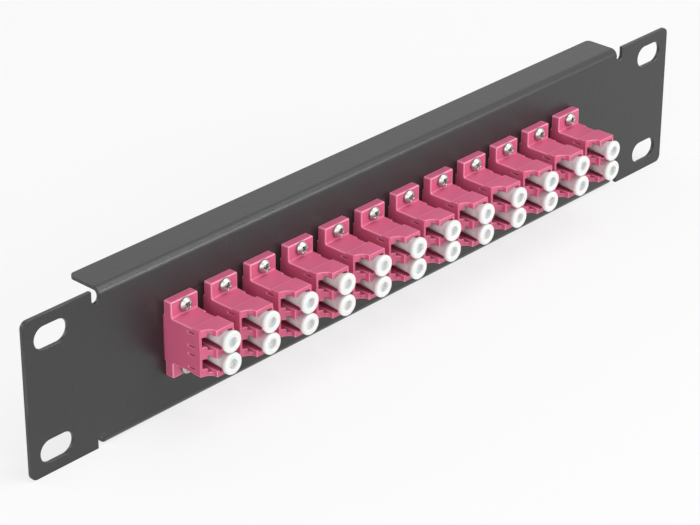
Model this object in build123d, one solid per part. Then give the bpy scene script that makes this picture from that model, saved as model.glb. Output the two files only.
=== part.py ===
from build123d import *
from build123d.topology import SkipClean
import os

# Fibre patch panel for a ten inch rack: a folded steel sheet that carries a row of duplex adapters.
# Millimetres. Origin at the centre of the mounting slots, on the rear face of the ears.
# +X runs along the panel, -Y points out of its front and +Z is up.

# Folded steel sheet
panel_length = 254.0
panel_height = 44.4
sheet_thickness = 1.2
bend_inner_radius = 1.0
ear_width = 24.5
fold_reach = 10.0
fold_corner_radius = 1.5
ear_corner_radius = 2.0
notch_width = 2.5
notch_depth = 3.8
slot_inset = 8.7375
slot_spacing_z = 31.75
slot_length = 10.8
slot_width = 6.4

# Row of adapters
adapter_count = 12
adapter_pitch = 14.0
cutout_clearance = 0.35
cutout_corner_radius = 0.6

# Adapter housing: two identical mouldings that meet at a split plane in the middle of the flange
flange_width = 9.3
flange_height = 21.8
flange_thickness = 2.8
flange_corner_radius = 0.4
screw_spacing = 18.0
housing_reach = 13.0
body_height = 12.9
latch_side_x = -4.65
plain_side_x = 3.75
pad_rise = 0.5
pad_length = 3.2
mouth_length = 5.6
mouth_rise_x = 0.7
mouth_rise_z = 0.2
root_radius = 0.5
edge_radius = 0.3

# Ports: the latch side of each faces -X
port_pitch = 6.25
port_axis_x = 1.65
cavity_width = 4.8
cavity_to_plain_side = 2.35
cavity_to_latch_side = 2.45
tooth_gap = 3.5
tooth_depth = 0.8
shoulder_depth = 1.0
latch_width = 2.75
latch_depth = 1.4
port_floor_thickness = 1.2
thumb_cut_depth = 2.9
thumb_cut_width = 3.05
thumb_cut_hollow_width = 1.9
thumb_cut_hollow_rise = 0.6
thumb_cut_wall = 1.1
catch_slit_length = 2.45
catch_slit_height = 0.5
catch_slit_offset = 1.9
catch_slit_setback = 1.95

# Sleeve holder in each port, with the ceramic alignment sleeve inside it
holder_radius = 1.45
holder_reach = 6.2
holder_lip_thickness = 0.4
ferrule_hole_radius = 0.66
sleeve_radius = 0.8
sleeve_bore_radius = 0.625
sleeve_length = 11.4
sleeve_slit = 0.25
sleeve_clearance = 0.05

# Dust cap: a turned shape whose hollow stem grips the sleeve holder
cap_head_radius = 3.0
cap_head_thickness = 0.6
cap_flare_radius = 2.58
cap_flare_distance = 1.5
cap_rim_radius = 0.45
cap_face_ahead = 2.6
cap_neck_radius = 2.2
cap_neck_distance = 2.7
cap_waist_radius = 2.05
cap_waist_distance = 5.8
cap_stem_radius = 1.9
cap_stem_distance = 8.8
cap_length = 13.6
cap_grip_clearance = 0.05
cap_tip_gap = 1.0
cap_dimple_radius = 1.4
cap_dimple_depth = 1.2

# M2 pan head screws and nuts
screw_radius = 1.0
screw_length = 6.0
screw_head_radius = 1.95
screw_head_height = 1.4
screw_top_radius = 0.9
screw_dome_radius = 1.68
screw_dome_height = 1.04
screw_rim_height = 0.5
recess_length = 2.2
recess_width = 0.5
recess_depth = 0.7
screw_hole_clearance = 0.15
nut_width = 4.0
nut_height = 1.6
nut_chamfer = 0.25
nut_thread_clearance = 0.04

# Places that follow from the sizes
fold_end = panel_length / 2 - ear_width
slot_x = panel_length / 2 - slot_inset
face_front_y = -sheet_thickness
flange_front_y = face_front_y - flange_thickness
split_y = face_front_y - flange_thickness / 2
half_flange = flange_thickness / 2
mouth_reach = half_flange + housing_reach
mouth_start = mouth_reach - mouth_length
mouth_side_x = plain_side_x + mouth_rise_x
cap_face_reach = mouth_reach + cap_face_ahead
screw_hole_radius = screw_radius + screw_hole_clearance
port_heights = (port_pitch / 2, -port_pitch / 2)
screw_heights = (screw_spacing / 2, -screw_spacing / 2)
row_places = [(index - (adapter_count - 1) / 2) * adapter_pitch for index in range(adapter_count)]
beyond = 1.0
small = 0.01


def rectangle_between(low_x, high_x, low_z, high_z):
    """A rectangle drawn in the plane of the panel's face."""
    return Pos((low_x + high_x) / 2, (low_z + high_z) / 2) * Rectangle(high_x - low_x, high_z - low_z)


def forward(sketch, start, end):
    """Push a sketch of the face plane out towards the front, between two distances."""
    return extrude(Plane.XZ.offset(start) * sketch, end - start)


def rod(radius, start, end, x=0.0, z=0.0):
    return forward(Pos(x, z) * Circle(radius), start, end)


def make_panel():
    """The sheet: a channel with its two long edges folded back, and a flat ear at each end."""
    half_height = panel_height / 2
    inner_height = half_height - sheet_thickness
    outline = make_face(
        Polyline(
            (fold_reach, half_height),
            (-sheet_thickness, half_height),
            (-sheet_thickness, -half_height),
            (fold_reach, -half_height),
            (fold_reach, -inner_height),
            (0, -inner_height),
            (0, inner_height),
            (fold_reach, inner_height),
            close=True,
        )
    )
    outer_corners = [v for v in outline.vertices() if v.X < -sheet_thickness / 2]
    outline = fillet(outer_corners, bend_inner_radius + sheet_thickness)
    inner_corners = [v for v in outline.vertices() if abs(v.X) < small and abs(v.Y) > half_height / 2]
    outline = fillet(inner_corners, bend_inner_radius)
    channel = extrude(Plane.YZ * outline, fold_end, both=True)
    upright = channel.edges().filter_by(Axis.Z)
    rear_corners = upright.filter_by_position(Axis.Y, fold_reach - small, fold_reach + small)
    channel = fillet(rear_corners, fold_corner_radius)

    ears = rectangle_between(-panel_length / 2, panel_length / 2, -half_height, half_height)
    ears = fillet(ears.vertices(), ear_corner_radius)
    ears -= rectangle_between(-fold_end, fold_end, -half_height, half_height)
    for side_x in (-1, 1):
        for side_z in (-1, 1):
            middle_x = side_x * (fold_end + notch_width / 2)
            round_z = side_z * (half_height - notch_depth + notch_width / 2)
            ears -= Pos(middle_x, round_z) * Circle(notch_width / 2)
            ears -= rectangle_between(
                middle_x - notch_width / 2,
                middle_x + notch_width / 2,
                min(round_z, side_z * (half_height + beyond)),
                max(round_z, side_z * (half_height + beyond)),
            )
            slot = Pos(side_x * slot_x, side_z * slot_spacing_z / 2)
            ears -= slot * SlotOverall(slot_length, slot_width)
    panel = channel + forward(ears, 0, sheet_thickness)

    openings = Sketch()
    for place in row_places:
        openings += Pos(place, 0) * cutout_outline()
        for height in screw_heights:
            openings += Pos(place, height) * Circle(screw_hole_radius)
    return with_ear_seats(panel - forward(openings, -beyond, sheet_thickness + beyond))


def with_ear_seats(panel):
    """The same sheet in one piece, with each ear a face of its own, up to the line where the folds end."""
    end = panel_length / 2 + beyond
    middle = panel & Box(2 * fold_end, panel_length, panel_length)
    ears = [
        panel & Pos(side * (fold_end + end) / 2, 0, 0) * Box(end - fold_end, panel_length, panel_length)
        for side in (-1, 1)
    ]
    with SkipClean():
        return middle + ears


def cutout_outline():
    """The hole in the sheet that one housing passes through."""
    width = mouth_side_x - latch_side_x + 2 * cutout_clearance
    height = body_height + 2 * mouth_rise_z + 2 * cutout_clearance
    return Pos((mouth_side_x + latch_side_x) / 2, 0) * RectangleRounded(width, height, cutout_corner_radius)


def port_outline():
    """One port seen from the front: square cavity, teeth, shoulder slot and latch slot, in that order."""
    tooth_x = port_axis_x - cavity_to_latch_side
    shoulder_x = tooth_x - tooth_depth
    latch_x = shoulder_x - shoulder_depth
    half = cavity_width / 2
    outline = rectangle_between(tooth_x, port_axis_x + cavity_to_plain_side, -half, half)
    outline += rectangle_between(shoulder_x, tooth_x, -tooth_gap / 2, tooth_gap / 2)
    outline += rectangle_between(latch_x, shoulder_x, -half, half)
    outline += rectangle_between(latch_x - latch_depth, latch_x, -latch_width / 2, latch_width / 2)
    return outline


def thumb_cut():
    """The latch side is cut back in a hollow curve, so that a finger can reach the latches."""
    low_y = thumb_cut_depth - mouth_reach
    start = (latch_side_x, low_y)
    middle = (latch_side_x + thumb_cut_hollow_width, low_y - thumb_cut_hollow_rise)
    end = (latch_side_x + thumb_cut_width, thumb_cut_wall - mouth_reach)
    hollow = ThreePointArc(start, middle, end)
    rest = Polyline(
        end,
        (end[0], -mouth_reach - beyond),
        (latch_side_x - beyond, -mouth_reach - beyond),
        (latch_side_x - beyond, low_y),
        start,
    )
    return extrude(make_face(hollow + rest), body_height, both=True)


def is_latch_side_rim(edge):
    """True for the edges ahead of the split face that border the flat latch side of flange and body."""
    points = [edge.position_at(share) for share in (0, 0.5, 1)]
    on_latch_side = all(abs(point.X - latch_side_x) < small for point in points)
    ahead = all(point.Y < -small for point in points)
    behind_mouth = any(point.Y > -mouth_start + small for point in points)
    return on_latch_side and ahead and behind_mouth


def make_housing_half():
    """One moulding of the housing, with its split face at Y = 0 and its ports opening towards -Y."""
    half_body = body_height / 2
    half_mouth = half_body + mouth_rise_z
    flange = forward(RectangleRounded(flange_width, flange_height, flange_corner_radius), 0, half_flange)
    body = forward(rectangle_between(latch_side_x, plain_side_x, -half_body, half_body), 0, mouth_start)
    pad = forward(
        rectangle_between(plain_side_x - beyond, plain_side_x + pad_rise, -half_body, half_body),
        0,
        half_flange + pad_length,
    )
    mouth_outline = rectangle_between(latch_side_x, mouth_side_x, -half_mouth, half_mouth)
    mouth = forward(fillet(mouth_outline.vertices(), edge_radius), mouth_start, mouth_reach)
    half = flange + body + pad
    roots = [
        edge
        for edge in half.edges().filter_by(Axis.X)
        if abs(edge.center().Y + half_flange) < small and abs(abs(edge.center().Z) - half_body) < small
    ]
    half = fillet(roots, root_radius)
    rim = [edge for edge in half.edges() if is_latch_side_rim(edge)]
    half = fillet(rim, edge_radius) + mouth

    for height in port_heights:
        half -= forward(Pos(0, height) * port_outline(), port_floor_thickness, mouth_reach + beyond)
    half -= thumb_cut()
    slit_end = mouth_reach - thumb_cut_depth - catch_slit_setback
    slit_bottom_x = port_axis_x - cavity_to_latch_side - tooth_depth - shoulder_depth / 2
    for height in port_heights:
        for offset in (-catch_slit_offset, catch_slit_offset):
            slit = rectangle_between(
                latch_side_x - beyond,
                slit_bottom_x,
                height + offset - catch_slit_height / 2,
                height + offset + catch_slit_height / 2,
            )
            half -= forward(slit, slit_end - catch_slit_length, slit_end)
        half += rod(holder_radius, 0, holder_reach, port_axis_x, height)
        half -= rod(sleeve_radius + sleeve_clearance, 0, holder_reach - holder_lip_thickness, port_axis_x, height)
        half -= rod(ferrule_hole_radius, 0, holder_reach, port_axis_x, height)
    for height in screw_heights:
        half -= rod(screw_hole_radius, 0, half_flange, 0, height)
    return half


def make_cap():
    """A dust cap about the Y axis, with its face at Y = 0 and its stem running back along +Y."""
    grip_radius = holder_radius + cap_grip_clearance
    grip_start = cap_face_reach - holder_reach - cap_tip_gap
    rim = Polyline(
        (0, cap_dimple_depth),
        (cap_dimple_radius, cap_dimple_depth),
        (cap_dimple_radius, 0),
        (cap_head_radius - cap_rim_radius, 0),
    )
    rounding = RadiusArc(
        (cap_head_radius - cap_rim_radius, 0), (cap_head_radius, cap_rim_radius), -cap_rim_radius
    )
    edge = Line((cap_head_radius, cap_rim_radius), (cap_head_radius, cap_head_thickness))
    flare = ThreePointArc(
        (cap_head_radius, cap_head_thickness),
        (cap_flare_radius, cap_flare_distance),
        (cap_neck_radius, cap_neck_distance),
    )
    stem = Polyline(
        (cap_neck_radius, cap_neck_distance),
        (cap_waist_radius, cap_waist_distance),
        (cap_stem_radius, cap_stem_distance),
        (cap_stem_radius, cap_length),
        (grip_radius, cap_length),
        (grip_radius, grip_start),
        (0, grip_start),
        (0, cap_dimple_depth),
    )
    return revolve(make_face(rim + rounding + edge + flare + stem), Axis.Y)


def make_screw():
    """A pan head screw along Y, with its seat at Y = 0 and its head towards -Y."""
    top = Line((0, -screw_head_height), (screw_top_radius, -screw_head_height))
    dome = ThreePointArc(
        (screw_top_radius, -screw_head_height),
        (screw_dome_radius, -screw_dome_height),
        (screw_head_radius, -screw_rim_height),
    )
    shank = Polyline(
        (screw_head_radius, -screw_rim_height),
        (screw_head_radius, 0),
        (screw_radius, 0),
        (screw_radius, screw_length),
        (0, screw_length),
        (0, -screw_head_height),
    )
    screw = revolve(make_face(top + dome + shank), Axis.Y)
    cross = Rectangle(recess_length, recess_width) + Rectangle(recess_width, recess_length)
    return screw - forward(cross, screw_head_height - recess_depth, screw_head_height + beyond)


def make_nut():
    """A hexagon nut along Y, with its seat at Y = 0 and its body towards +Y."""
    hexagon = RegularPolygon(nut_width / 2, 6, major_radius=False, rotation=0)
    nut = forward(hexagon, -nut_height, 0)
    nut = chamfer(nut.faces().sort_by(Axis.Y)[-1].edges(), nut_chamfer)
    return nut - rod(screw_radius + nut_thread_clearance, -nut_height, 0)


def make_sleeve():
    """A split ceramic sleeve along Y, centred on Y = 0."""
    ring = Circle(sleeve_radius) - Circle(sleeve_bore_radius)
    ring -= rectangle_between(0, sleeve_radius + beyond, -sleeve_slit / 2, sleeve_slit / 2)
    return forward(ring, -sleeve_length / 2, sleeve_length / 2)


def placed(shape, x, y, z):
    return Pos(x, y, z) * shape


def write(shape, node):
    export_step(shape, f"parts/{node}.step")


os.makedirs("parts", exist_ok=True)

write(make_panel(), "panel")

front_half = make_housing_half()
rear_half = mirror(front_half, Plane.XZ)
front_cap = make_cap()
rear_cap = mirror(front_cap, Plane.XZ)
for number, place in enumerate(row_places, start=1):
    write(placed(front_half, place, split_y, 0), f"adapter_front_{number:02d}")
    write(placed(rear_half, place, split_y, 0), f"adapter_rear_{number:02d}")
    for level, height in zip(("upper", "lower"), port_heights):
        cap_face_y = split_y - cap_face_reach
        write(placed(front_cap, place + port_axis_x, cap_face_y, height), f"dust_cap_{number:02d}_{level}")

screw = make_screw()
nut = make_nut()
sleeve = make_sleeve()
screws = [placed(screw, x, flange_front_y, z) for x in row_places for z in screw_heights]
nuts = [placed(nut, x, 0, z) for x in row_places for z in screw_heights]
sleeves = [placed(sleeve, x + port_axis_x, split_y, z) for x in row_places for z in port_heights]
rear_caps = [
    placed(rear_cap, x + port_axis_x, split_y + cap_face_reach, z) for x in row_places for z in port_heights
]
write(Compound(children=screws), "flange_screws")
write(Compound(children=nuts), "flange_nuts")
write(Compound(children=sleeves), "alignment_sleeves")
write(Compound(children=rear_caps), "rear_dust_caps")
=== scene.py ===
import math

import bmesh
import bpy
from mathutils import Matrix, Vector


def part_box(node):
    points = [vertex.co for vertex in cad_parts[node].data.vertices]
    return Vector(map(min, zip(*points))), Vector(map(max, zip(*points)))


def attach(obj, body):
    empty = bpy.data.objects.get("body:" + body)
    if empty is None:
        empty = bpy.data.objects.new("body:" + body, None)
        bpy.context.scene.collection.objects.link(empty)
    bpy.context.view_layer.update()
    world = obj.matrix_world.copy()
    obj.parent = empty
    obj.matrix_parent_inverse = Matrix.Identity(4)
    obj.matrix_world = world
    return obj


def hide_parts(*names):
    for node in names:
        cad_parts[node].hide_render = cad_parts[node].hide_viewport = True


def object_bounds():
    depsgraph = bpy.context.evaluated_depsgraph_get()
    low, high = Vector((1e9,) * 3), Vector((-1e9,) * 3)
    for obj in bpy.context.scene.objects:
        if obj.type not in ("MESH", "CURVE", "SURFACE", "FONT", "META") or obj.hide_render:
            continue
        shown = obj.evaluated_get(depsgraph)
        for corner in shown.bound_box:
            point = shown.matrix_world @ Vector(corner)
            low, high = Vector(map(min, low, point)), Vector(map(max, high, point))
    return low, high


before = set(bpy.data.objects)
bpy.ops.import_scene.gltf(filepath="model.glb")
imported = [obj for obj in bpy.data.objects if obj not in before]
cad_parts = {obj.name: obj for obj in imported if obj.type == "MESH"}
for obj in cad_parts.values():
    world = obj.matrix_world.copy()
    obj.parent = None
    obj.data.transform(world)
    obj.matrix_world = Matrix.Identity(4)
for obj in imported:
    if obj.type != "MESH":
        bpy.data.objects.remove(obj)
cad_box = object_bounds()

# Sizes in millimetres, made metres where a mesh is built
MM = 0.001
ADAPTERS = 12
LEVELS = ("upper", "lower")
PITCH = 14.0
PORT_RISE = 6.25
SCREW_RISE = 18.0
SCREW_HEAD_RADIUS = 1.95
SCREW_HEAD_HEIGHT = 1.4
SCREW_RADIUS = 1.0
SCREW_LENGTH = 6.0
THREAD_START = 4.4
THREAD_PITCH = 0.4
CROSS_HALF_WIDTH = 0.32
CROSS_REACH = 1.15
CROSS_DEPTH = 0.75
NUT_HEIGHT = 1.6
NUT_HALF_WIDTH = 2.0
NUT_BORE_RADIUS = 1.04
CAP_DIMPLE_DEPTH = 1.25
CAP_DIMPLE_RADIUS = 1.4
CAP_FACE_RADIUS = 3.0
CAP_STEM_RADIUS = 1.9
CAP_BORE_RADIUS = 1.5
CAP_BORE_START = 9.55
CAP_SIDES = 40
METAL_SIDES = 48
FIXED_BODY = "patch_panel"
SEED = 7

# Eased edges, in millimetres
PANEL_EASE = 0.16
MOULDING_EASE = 0.14
SHORTEST_EDGE = 0.1
WIDEST_ROUNDING = 0.3
MERGE_GAP = 0.002
SEAM_GAP = 0.01

# Angles between faces, in degrees
FLAT_ANGLE = 0.6
SMOOTH_ANGLE = 35
SHARP_ANGLE = 50
TURNED_ANGLE = 38
ROUNDING_ANGLES = (3, 40)

# Main view: the image in pixels and the sensor in millimetres
IMAGE_WIDTH = 700
IMAGE_HEIGHT = 525
SENSOR_WIDTH = 36

# Studio: the sky's strength where it lights, the floor's share of plain white near the panel and, in metres,
# where the floor turns all white, how far it reaches and how far it lies below the panel
SKY_LIGHT = 0.36
FLOOR_GLOW = 0.75
FLOOR_FADE = (0.3, 1.5)
FLOOR_REACH = 6.0
FLOOR_GAP = 0.00002

first_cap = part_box("dust_cap_01_upper")
CAP_LENGTH = (first_cap[1].y - first_cap[0].y) / MM


class Wire:
    """The output of a node, on which sums are written as Python writes them."""

    def __init__(self, plan, socket):
        self.plan = plan
        self.socket = socket

    def __add__(self, other):
        return self.plan.sum("ADD", self, other)

    def __sub__(self, other):
        return self.plan.sum("SUBTRACT", self, other)

    def __rsub__(self, other):
        return self.plan.sum("SUBTRACT", other, self)

    def __mul__(self, other):
        return self.plan.sum("MULTIPLY", self, other)

    __radd__ = __add__
    __rmul__ = __mul__


class Plan:
    """A node tree that is filled from Python expressions."""

    def __init__(self, tree):
        self.tree = tree

    def feed(self, socket, value):
        if isinstance(value, Wire):
            self.tree.links.new(value.socket, socket)
        else:
            socket.default_value = value

    def node(self, kind, settings=(), sockets=(), out=0):
        made = self.tree.nodes.new(kind)
        for name, value in dict(settings).items():
            setattr(made, name, value)
        for name, value in dict(sockets).items():
            self.feed(made.inputs[name], value)
        return Wire(self, made.outputs[out])

    def sum(self, operation, *values):
        kind = "ShaderNodeMath"
        return self.node(kind, {"operation": operation}, dict(enumerate(values)))

    def between(self, low, high, share):
        """A colour that goes from low to high as share goes from 0 to 1."""
        return self.node("ShaderNodeMix", {"data_type": "RGBA"}, {0: share, 6: low, 7: high}, 2)

    def place(self):
        return self.node("ShaderNodeTexCoord", out="Object")

    def noise(self, scale, detail=2.0, roughness=0.5):
        sockets = {"Vector": self.place(), "Scale": scale, "Detail": detail, "Roughness": roughness}
        return self.node("ShaderNodeTexNoise", {}, sockets)

    def step(self, value, low, high):
        """0 below low, 1 above high and a smooth rise between them."""
        settings = {"interpolation_type": "SMOOTHSTEP"}
        return self.node("ShaderNodeMapRange", settings, {0: value, 1: low, 2: high})

    def mark(self, name):
        return self.node("ShaderNodeAttribute", {"attribute_name": name}, out="Fac")

    def seen(self):
        """1 on the way from the camera, also by way of metal or glass, and 0 where a surface is lit."""
        path = self.tree.nodes.new("ShaderNodeLightPath")
        ways = [Wire(self, path.outputs[f"Is {way} Ray"]) for way in ("Camera", "Glossy", "Transmission")]
        return self.node("ShaderNodeClamp", {}, {"Value": ways[0] + ways[1] + ways[2]})

    def relief(self, height, depth, strength=1.0):
        sockets = {"Height": height, "Distance": depth, "Strength": strength}
        return self.node("ShaderNodeBump", {}, sockets)


def finish(name, recipe, **constants):
    """A material on the standard shader: constants on its own sockets, and a recipe for what varies."""
    made = bpy.data.materials.new(name)
    made.use_nodes = True
    plan = Plan(made.node_tree)
    shader = made.node_tree.nodes["Principled BSDF"]
    for socket, value in constants.items():
        shader.inputs[socket.replace("_", " ")].default_value = value
    for socket, value in recipe(plan).items():
        plan.feed(shader.inputs[socket], value)
    return made


def powder_coat(plan):
    grain = plan.noise(1300, 3.0, 0.6)
    cloud = plan.noise(28, 3.0)
    edge = plan.mark("edge")
    # Eased edges turn lighter grey in patches: partly worn coat, partly a painted edge highlight
    edge_wear_and_highlight = edge * plan.step(plan.noise(90, 2.0), 0.42, 0.7)
    colour = plan.between((0.012, 0.0124, 0.0128, 1), (0.024, 0.0245, 0.025, 1), grain * 0.6 + cloud * 0.4)
    colour = plan.between(colour, (0.15, 0.15, 0.15, 1), edge_wear_and_highlight * 0.45)
    return {
        "Base Color": colour,
        "Roughness": 0.25 + grain * 0.12 + cloud * 0.06 - edge_wear_and_highlight * 0.06,
        "Normal": plan.relief(grain + plan.noise(420, 2.0) * 0.6, 0.00008, 0.7),
    }


def violet_plastic(plan):
    flow = plan.noise(45, 3.0, 0.6)
    grain = plan.noise(2600, 2.0)
    edge = plan.mark("edge")
    colour = plan.between((0.60, 0.108, 0.212, 1), (0.68, 0.132, 0.252, 1), flow * 0.8 + grain * 0.2)
    # Eased strips and roundings are painted light pink: a painted edge highlight
    colour = plan.between(colour, (0.90, 0.33, 0.47, 1), edge * 0.8)
    return {
        "Base Color": colour,
        "Roughness": 0.30 + grain * 0.14 + flow * 0.08,
        "Normal": plan.relief(grain * 0.4 + plan.noise(300, 2.0) * 0.6, 0.00002, 0.7),
    }


def milky_plastic(plan):
    cloud = plan.noise(260, 3.0, 0.6)
    grain = plan.noise(3200, 2.0)
    colour = plan.between((0.725, 0.75, 0.74, 1), (0.77, 0.795, 0.785, 1), cloud)
    return {
        # The dimple is painted greyer: a painted shade in the hollow
        "Base Color": plan.between(colour, (0.69, 0.705, 0.70, 1), plan.mark("painted_dimple_shade")),
        "Roughness": 0.34 + grain * 0.12 + cloud * 0.08,
        "Normal": plan.relief(cloud * 0.7 + grain * 0.3, 0.00003, 0.6),
    }


def plated_steel(plan):
    cloud = plan.noise(700, 3.0, 0.6)
    scratches = plan.noise(5200, 2.0, 0.7)
    recess = plan.mark("recess")
    colour = plan.between((0.42, 0.415, 0.40, 1), (0.60, 0.595, 0.58, 1), cloud)
    return {
        # The recess mark darkens the cross recess and the side of the head: painted shade, with some dirt
        "Base Color": plan.between(colour, (0.17, 0.165, 0.16, 1), recess),
        "Roughness": 0.28 + cloud * 0.12 + scratches * 0.08 + recess * 0.2,
        "Normal": plan.relief(cloud * 0.5 + scratches * 0.5, 0.00001, 0.6),
    }


def white_ceramic(plan):
    cloud = plan.noise(900, 2.0)
    return {
        "Base Color": plan.between((0.84, 0.83, 0.79, 1), (0.9, 0.89, 0.86, 1), cloud),
        "Roughness": 0.1 + cloud * 0.1,
        "Normal": plan.relief(plan.noise(4000, 2.0), 0.000004, 0.5),
    }


coat = finish("powder_coat", powder_coat, Specular_IOR_Level=0.56)
housing_plastic = finish("violet_plastic", violet_plastic, Subsurface_Weight=0.25, Subsurface_Scale=0.002)
cap_plastic = finish("milky_plastic", milky_plastic, Subsurface_Weight=0.35, Subsurface_Scale=0.002)
steel = finish("plated_steel", plated_steel, Metallic=1.0)
ceramic = finish("white_ceramic", white_ceramic)


def shown(name, mesh):
    piece = bpy.data.objects.new(name, mesh)
    bpy.context.scene.collection.objects.link(piece)
    return piece


def plain_mesh(piece):
    """The evaluated piece as a plain mesh, with its modifiers taken off."""
    bpy.context.view_layer.update()
    mesh = bpy.data.meshes.new_from_object(piece.evaluated_get(bpy.context.evaluated_depsgraph_get()))
    piece.modifiers.clear()
    return mesh


def fitted(piece, material, slot, body, *replaced):
    """Gives a piece its finish, the body that carries it and the nodes that it stands for."""
    piece.data.polygons.foreach_set("material_index", [0] * len(piece.data.polygons))
    piece.data.materials.clear()
    piece.data.materials.append(material)
    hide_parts(*replaced)
    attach(piece, body)
    return piece


def is_rounding(face):
    """True for a narrow facet of an outer rounding: it bends away from both its long neighbours."""
    least, most = (math.radians(angle) for angle in ROUNDING_ANGLES)
    bends = [edge for edge in face.edges if edge.is_convex and least < edge.calc_face_angle(0) < most]
    if len(bends) < 2:
        return False
    return face.calc_area() < max(edge.calc_length() for edge in bends) * WIDEST_ROUNDING * MM


def eased_mesh(node, width, seam=None):
    """A merged copy of a node's mesh with its sharp edges eased and the eased strips marked.
    Very short edges stay sharp, and so do those in the upright plane of a closed seam."""
    work = bmesh.new()
    work.from_mesh(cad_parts[node].data)
    bmesh.ops.remove_doubles(work, verts=work.verts, dist=MERGE_GAP * MM)
    bmesh.ops.dissolve_limit(work, angle_limit=math.radians(FLAT_ANGLE), verts=work.verts, edges=work.edges)
    for face in work.faces:
        face.material_index = int(is_rounding(face))
    weight = work.edges.layers.float.new("bevel_weight_edge")
    for edge in work.edges:
        sharp = len(edge.link_faces) == 2 and edge.calc_face_angle() > math.radians(SHARP_ANGLE)
        in_seam = seam is not None and all(abs(vertex.co.y - seam) < SEAM_GAP * MM for vertex in edge.verts)
        eased = sharp and not in_seam and edge.calc_length() >= SHORTEST_EDGE * MM
        edge[weight] = float(eased)
        edge.smooth = eased or edge.calc_face_angle(0) < math.radians(SMOOTH_ANGLE)
    mesh = bpy.data.meshes.new("eased_" + node)
    work.to_mesh(mesh)
    work.free()
    mesh.polygons.foreach_set("use_smooth", [True] * len(mesh.polygons))
    # The second slot marks roundings and eased strips until the marks become an attribute
    for _ in range(2):
        mesh.materials.append(coat)
    piece = shown("eased_" + node, mesh)
    bevel = piece.modifiers.new("ease", "BEVEL")
    bevel.width = width * MM
    bevel.segments = 2
    bevel.limit_method = "WEIGHT"
    bevel.use_clamp_overlap = False
    bevel.material = 1
    weighted = piece.modifiers.new("flat faces stay flat", "WEIGHTED_NORMAL")
    weighted.mode = "FACE_AREA"
    weighted.weight = 60
    weighted.keep_sharp = True
    eased = plain_mesh(piece)
    bpy.data.objects.remove(piece)
    # The edge mark carries the painted edge highlight, and on the coat its wear too
    strips = [float(face.material_index) for face in eased.polygons]
    eased.attributes.new("edge", "FLOAT", "FACE").data.foreach_set("value", strips)
    eased.polygons.foreach_set("material_index", [0] * len(strips))
    return eased


def turned(name, profile, segments, form=lambda radius, along, angle: (radius, along)):
    """A body of rings about the Y axis, from (radius, distance) pairs.
    The form may change each point by its angle."""
    work = bmesh.new()
    rings = []
    for radius, along in profile:
        count = segments if radius else 1
        angles = [2 * math.pi * i / count for i in range(count)]
        points = [(*form(radius, along, angle), angle) for angle in angles]
        rings.append([
            work.verts.new((r * math.cos(a) * MM, y * MM, r * math.sin(a) * MM)) for r, y, a in points
        ])
    following = rings[1:] if not profile[0][0] else rings[1:] + rings[:1]
    for near, far in zip(rings, following):
        for i in range(segments):
            turn = (i, (i + 1) % segments)
            corners = [near[k % len(near)] for k in turn] + [far[k % len(far)] for k in reversed(turn)]
            work.faces.new(list(dict.fromkeys(corners)))
    bmesh.ops.recalc_face_normals(work, faces=work.faces)
    mesh = bpy.data.meshes.new(name)
    work.to_mesh(mesh)
    work.free()
    mesh.shade_smooth()
    mesh.set_sharp_from_angle(angle=math.radians(TURNED_ANGLE))
    return mesh


def arc(centre, radius, start, end, steps):
    """Points on an arc of a profile, between two angles in degrees."""
    angles = [math.radians(start + (end - start) * i / steps) for i in range(steps + 1)]
    return [(centre[0] + radius * math.cos(a), centre[1] + radius * math.sin(a)) for a in angles]


def cap_shape():
    """A dust cap with its face at Y = 0 and its stem along +Y."""
    dimple = [(0, CAP_DIMPLE_DEPTH), (0.9, CAP_DIMPLE_DEPTH)]
    dimple += arc((1.1, 0.95), 0.3, 90, 0, 4)
    dimple += [(CAP_DIMPLE_RADIUS, 0.25)]
    face = arc((1.62, 0.22), 0.22, 180, 270, 3)
    face += arc((2.5, 0.5), 0.5, 270, 360, 7)
    flare = [(CAP_FACE_RADIUS, 0.75), (2.95, 1.0), (2.84, 1.25), (2.69, 1.5), (2.54, 1.8), (2.41, 2.1)]
    flare += [(2.3, 2.4), (2.22, 2.7), (2.17, 3.2), (2.05, 5.8)]
    stem = [(CAP_STEM_RADIUS, 8.8), (CAP_STEM_RADIUS, CAP_LENGTH - 0.2)]
    stem += [(1.75, CAP_LENGTH), (1.6, CAP_LENGTH)]
    bore = [(CAP_BORE_RADIUS, CAP_LENGTH - 0.15), (CAP_BORE_RADIUS, CAP_BORE_START), (0, CAP_BORE_START)]
    mesh = turned("cap_shape", dimple + face + flare + stem + bore, CAP_SIDES)
    # Marks the dimple, where the finish paints shade
    painted_dimple_shade = []
    for vertex in mesh.vertices:
        x, y, z = vertex.co / MM
        painted_dimple_shade.append(float(math.hypot(x, z) < CAP_DIMPLE_RADIUS + 0.05 and 0.2 < y < 2))
    mesh.attributes.new("painted_dimple_shade", "FLOAT", "POINT").data.foreach_set("value", painted_dimple_shade)
    return mesh


def ramp(value):
    """The value, held between 0 and 1."""
    return min(1.0, max(0.0, value))


def cross_depth(x, z):
    """How deep the cross recess is at a point of the head, as a share of its depth in the middle."""
    deepest = 0.0
    for along, across in ((abs(x), abs(z)), (abs(z), abs(x))):
        half_width = CROSS_HALF_WIDTH - 0.06 * along
        inside = ramp((half_width - across) / 0.1) * ramp((CROSS_REACH - along) / 0.16)
        deepest = max(deepest, inside * (1.0 - 0.35 * along))
    return deepest


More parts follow.
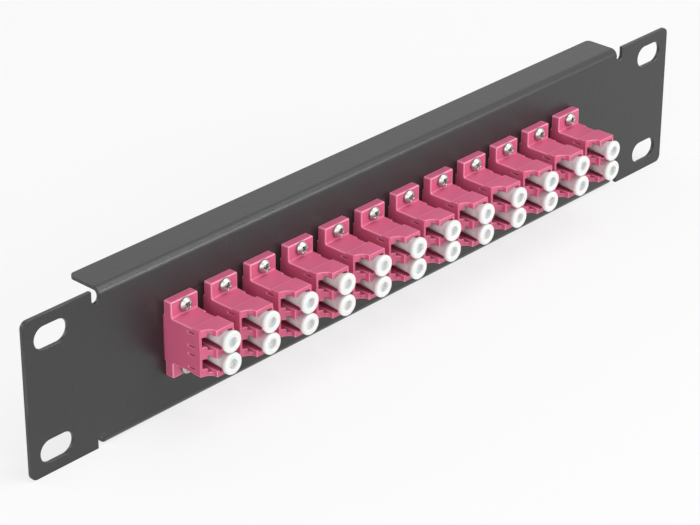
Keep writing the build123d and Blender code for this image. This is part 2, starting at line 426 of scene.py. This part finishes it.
def screw_shape():
    """A pan head screw with its seat at Y = 0 and its head towards -Y, and thread turns at its end."""
    steps, crown_radius, crown_fall = 19, 0.9, 0.9
    root_radius, flank_rise = 0.84, 0.32
    profile = []
    for i in range(steps + 1):
        radius = SCREW_HEAD_RADIUS * (i / steps) ** 0.9
        fall = (max(0.0, radius - crown_radius) / 1.05) ** 2.2
        profile.append((radius, -SCREW_HEAD_HEIGHT + crown_fall * fall))
    profile += [(SCREW_HEAD_RADIUS, -0.12), (SCREW_HEAD_RADIUS - 0.12, 0), (SCREW_RADIUS, 0)]
    profile += [(SCREW_RADIUS, THREAD_START + 0.1 * i) for i in range(15)]
    profile += [(0.85, SCREW_LENGTH - 0.04), (0, SCREW_LENGTH)]

    def form(radius, along, angle):
        if along < -0.2:
            along += CROSS_DEPTH * cross_depth(radius * math.cos(angle), radius * math.sin(angle))
        elif along > THREAD_START + 0.05 and radius > 0.9:
            turn = (along / THREAD_PITCH - angle / (2 * math.pi)) % 1
            radius = root_radius + flank_rise * abs(turn - 0.5)
        return radius, along

    mesh = turned("screw_shape", profile, METAL_SIDES, form)
    # Painted shade marks: the cross recess by its depth, and the side of the head at 0.7
    depths = []
    for vertex in mesh.vertices:
        x, y, z = vertex.co / MM
        rim = ramp((math.hypot(x, z) - 1.7) / 0.25)
        depths.append(cross_depth(x, z) if y < -0.6 else 0.7 * rim)
    mesh.attributes.new("recess", "FLOAT", "POINT").data.foreach_set("value", depths)
    return mesh


def nut_shape():
    """A hexagon nut with its seat at Y = 0, both faces chamfered to a circle."""
    chamfer_radius, bore_chamfer = 1.2, 0.16
    rim_fall, rim_slope, past_corners = 0.06, 1.7, 2.4

    def form(radius, along, angle):
        if radius <= chamfer_radius:
            return radius, along
        flank = NUT_HALF_WIDTH / math.cos((angle % (math.pi / 3)) - math.pi / 6)
        cone = NUT_HALF_WIDTH - rim_fall + min(along, NUT_HEIGHT - along) * rim_slope
        return min(flank, cone, radius), along

    heights = [0, 0.07, 0.14, 0.22, NUT_HEIGHT - 0.22, NUT_HEIGHT - 0.14, NUT_HEIGHT - 0.07, NUT_HEIGHT]
    profile = [(NUT_BORE_RADIUS, bore_chamfer), (chamfer_radius, 0)]
    profile += [(past_corners, y) for y in heights]
    profile += [(chamfer_radius, NUT_HEIGHT), (NUT_BORE_RADIUS, NUT_HEIGHT - bore_chamfer)]
    return turned("nut_shape", profile, METAL_SIDES, form)


def row_tree():
    """Copies of one piece on an upright grid, each spun about the Y axis by a seeded angle."""
    tree = bpy.data.node_groups.new("row_of_pieces", "GeometryNodeTree")
    sizes = (
        ("Piece", "Object"), ("Material", "Material"), ("Columns", "Int"), ("Levels", "Int"),
        ("Pitch", "Float"), ("Rise", "Float"), ("Middle", "Vector"), ("Turn", "Float"),
        ("Spin", "Float"), ("Seed", "Int"),
    )
    for name, kind in sizes:
        tree.interface.new_socket(name, in_out="INPUT", socket_type="NodeSocket" + kind)
    tree.interface.new_socket("Geometry", in_out="OUTPUT", socket_type="NodeSocketGeometry")
    plan = Plan(tree)
    given = tree.nodes.new("NodeGroupInput")
    size = {name: Wire(plan, given.outputs[name]) for name, _ in sizes}
    grid = plan.node("GeometryNodeMeshGrid", {}, {
        "Size X": size["Pitch"] * (size["Columns"] - 1),
        "Size Y": size["Rise"] * (size["Levels"] - 1),
        "Vertices X": size["Columns"],
        "Vertices Y": size["Levels"],
    })
    points = plan.node("GeometryNodeMeshToPoints", {}, {"Mesh": grid})
    stood = plan.node("GeometryNodeTransform", {}, {
        "Geometry": points, "Translation": size["Middle"], "Rotation": (math.pi / 2, 0, 0),
    })
    spin = plan.node("FunctionNodeRandomValue", {"data_type": "FLOAT"}, {
        "Min": 0.0, "Max": size["Spin"], "Seed": size["Seed"],
    }, 1)
    turn = plan.node("ShaderNodeCombineXYZ", {}, {"Y": spin, "Z": size["Turn"]})
    piece = plan.node("GeometryNodeObjectInfo", {}, {"Object": size["Piece"]}, "Geometry")
    copies = plan.node("GeometryNodeInstanceOnPoints", {}, {
        "Points": stood, "Instance": piece, "Rotation": turn,
    })
    real = plan.node("GeometryNodeRealizeInstances", {}, {"Geometry": copies})
    painted = plan.node("GeometryNodeSetMaterial", {}, {"Geometry": real, "Material": size["Material"]})
    plan.feed(tree.nodes.new("NodeGroupOutput").inputs[0], painted)
    return tree


row = row_tree()


def in_row(name, piece, material, middle, columns=1, levels=1, pitch=0.0, rise=0.0, turn=0.0, spin=0.0):
    """Copies of a piece on a grid about a middle point in metres, as one piece of its own."""
    made = shown(name, bpy.data.meshes.new(name))
    modifier = made.modifiers.new("row", "NODES")
    modifier.node_group = row
    values = {
        "Piece": piece, "Material": material, "Columns": columns, "Levels": levels, "Pitch": pitch * MM,
        "Rise": rise * MM, "Middle": middle, "Turn": turn, "Spin": spin, "Seed": SEED,
    }
    for socket in row.interface.items_tree:
        if socket.in_out == "INPUT":
            modifier[socket.identifier] = values[socket.name]
    made.data = plain_mesh(made)
    made.data.name = name
    return made


# The panel and the two mouldings of each adapter
panel = shown("folded_sheet", eased_mesh("panel", PANEL_EASE))
fitted(panel, coat, "panel_coat", FIXED_BODY, "panel")

first_places = {side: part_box(f"adapter_{side}_01")[0] for side in ("front", "rear")}
seam = first_places["rear"].y
for side, first in first_places.items():
    eased = eased_mesh(f"adapter_{side}_01", MOULDING_EASE, seam)
    for number in range(1, ADAPTERS + 1):
        node = f"adapter_{side}_{number:02d}"
        mesh = eased.copy()
        mesh.transform(Matrix.Translation(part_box(node)[0] - first))
        moulding = shown(f"{side}_moulding_{number:02d}", mesh)
        fitted(moulding, housing_plastic, "adapter_plastic", FIXED_BODY, node)

# Caps, screws and nuts
cap = shown("cap_pattern", cap_shape())
screw = shown("screw_pattern", screw_shape())
nut = shown("nut_pattern", nut_shape())
port_x = 0.0
for number in range(1, ADAPTERS + 1):
    for level in LEVELS:
        node = f"dust_cap_{number:02d}_{level}"
        low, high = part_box(node)
        place = (low + high) / 2
        port_x += place.x / (len(LEVELS) * ADAPTERS)
        made = in_row(f"front_cap_{number:02d}_{level}", cap, cap_plastic, (place.x, low.y, place.z))
        fitted(made, cap_plastic, "cap_plastic", f"cap_{number:02d}_{level}", node)

rear_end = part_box("rear_dust_caps")[1].y
made = in_row(
    "rear_caps", cap, cap_plastic, (port_x, rear_end, 0),
    ADAPTERS, len(LEVELS), PITCH, PORT_RISE, turn=math.pi
)
fitted(made, cap_plastic, "cap_plastic", FIXED_BODY, "rear_dust_caps")

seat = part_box("flange_screws")[0].y + SCREW_HEAD_HEIGHT * MM
made = in_row(
    "cross_head_screws", screw, steel, (0, seat, 0),
    ADAPTERS, len(LEVELS), PITCH, SCREW_RISE, spin=math.pi / 2
)
fitted(made, steel, "screw_metal", FIXED_BODY, "flange_screws")
made = in_row(
    "hexagon_nuts", nut, steel, (0, 0, 0),
    ADAPTERS, len(LEVELS), PITCH, SCREW_RISE, spin=math.pi / 3
)
fitted(made, steel, "screw_metal", FIXED_BODY, "flange_nuts")
for pattern in (cap, screw, nut):
    bpy.data.objects.remove(pattern)

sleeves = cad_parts["alignment_sleeves"].data
sleeves.materials.clear()
sleeves.materials.append(ceramic)


def camera_at(azimuth, elevation, roll, distance, focal, centre_x, centre_y):
    """A camera that looks at the origin; focal length and centre are pixels of the image."""
    a, e, r = (math.radians(angle) for angle in (azimuth, elevation, roll))
    back = Vector((math.sin(a) * math.cos(e), -math.cos(a) * math.cos(e), math.sin(e)))
    level = Vector((math.cos(a), math.sin(a), 0))
    upright = back.cross(level)
    right = math.cos(r) * level + math.sin(r) * upright
    up = -math.sin(r) * level + math.cos(r) * upright
    data = bpy.data.cameras.new("camera")
    data.sensor_width = SENSOR_WIDTH
    data.sensor_fit = "HORIZONTAL"
    data.lens = focal / IMAGE_WIDTH * SENSOR_WIDTH
    data.shift_x = (IMAGE_WIDTH / 2 - centre_x) / IMAGE_WIDTH
    data.shift_y = (centre_y - IMAGE_HEIGHT / 2) / IMAGE_WIDTH
    data.clip_start = 0.01
    camera = bpy.data.objects.new("camera", data)
    turn = Matrix((right, up, back)).transposed().to_4x4()
    camera.matrix_world = Matrix.Translation(back * distance) @ turn
    bpy.context.scene.collection.objects.link(camera)
    bpy.context.scene.camera = camera


camera_at(
    azimuth=-47.7106, elevation=26.8641, roll=0.4418, distance=0.7068729,
    focal=2585.5936, centre_x=379.6524, centre_y=229.7397
)


# Floor, sky and lamps
def white_floor(plan, shader, output):
    """A pale floor that the camera sees nearly white, with the shadow kept, and white where it ends."""
    glow = plan.node("ShaderNodeEmission", {}, {"Color": (1, 1, 1, 1), "Strength": 1.0})
    matt = Wire(plan, shader.outputs[0])
    away = plan.node("ShaderNodeVectorMath", {"operation": "LENGTH"}, {0: plan.place()}, "Value")
    share = plan.seen() * (FLOOR_GLOW + plan.step(away, *FLOOR_FADE) * (1 - FLOOR_GLOW))
    plan.feed(output.inputs["Surface"], plan.node("ShaderNodeMixShader", {}, {0: share, 1: matt, 2: glow}))


floor_finish = finish("pale_floor", lambda plan: {
    "Base Color": plan.between((0.84, 0.84, 0.84, 1), (0.88, 0.88, 0.88, 1), plan.noise(3, 2.0)),
}, Roughness=0.9)
tree = floor_finish.node_tree
white_floor(Plan(tree), tree.nodes["Principled BSDF"], tree.nodes["Material Output"])
floor_mesh = bpy.data.meshes.new("floor")
ground = cad_box[0][2] - FLOOR_GAP
signs = ((-1, -1), (1, -1), (1, 1), (-1, 1))
floor_mesh.from_pydata([(x * FLOOR_REACH, y * FLOOR_REACH, ground) for x, y in signs], [], [(0, 1, 2, 3)])
floor_mesh.materials.append(floor_finish)
shown("floor", floor_mesh)

sky = bpy.data.worlds.new("studio")
sky.use_nodes = True
bpy.context.scene.world = sky
plan = Plan(sky.node_tree)
background = sky.node_tree.nodes["Background"]
background.inputs["Color"].default_value = (1, 1, 1, 1)
plan.feed(background.inputs["Strength"], SKY_LIGHT + plan.seen() * (1 - SKY_LIGHT))


def lamp(name, place, width, height, power):
    """A rectangular lamp that faces the panel."""
    data = bpy.data.lights.new(name, "AREA")
    data.shape = "RECTANGLE"
    data.size = width
    data.size_y = height
    data.energy = power
    made = bpy.data.objects.new(name, data)
    turn = Vector(place).to_track_quat("Z", "Y").to_matrix().to_4x4()
    made.matrix_world = Matrix.Translation(place) @ turn
    bpy.context.scene.collection.objects.link(made)
    return made


lamp("box_above", (0.25, -0.35, 1.1), 1.0, 0.7, 6.0)
lamp("box_left", (-1.1, -0.45, 0.4), 0.6, 0.8, 4.4)
lamp("box_front_left", (-0.5, -1.3, 0.45), 0.9, 0.7, 3.2)
lamp("box_front_right", (0.6, -1.1, 0.45), 0.6, 0.5, 6.6)
lamp("box_behind", (-0.8, 1.0, 0.55), 0.8, 0.6, 4.0)
# A narrow lamp that only shows as the bright line along the top bend
lamp("strip_right", (0.37, -0.45, 0.61), 0.26, 0.06, 0.6).visible_diffuse = False

bpy.context.scene.view_settings.view_transform = "Standard"
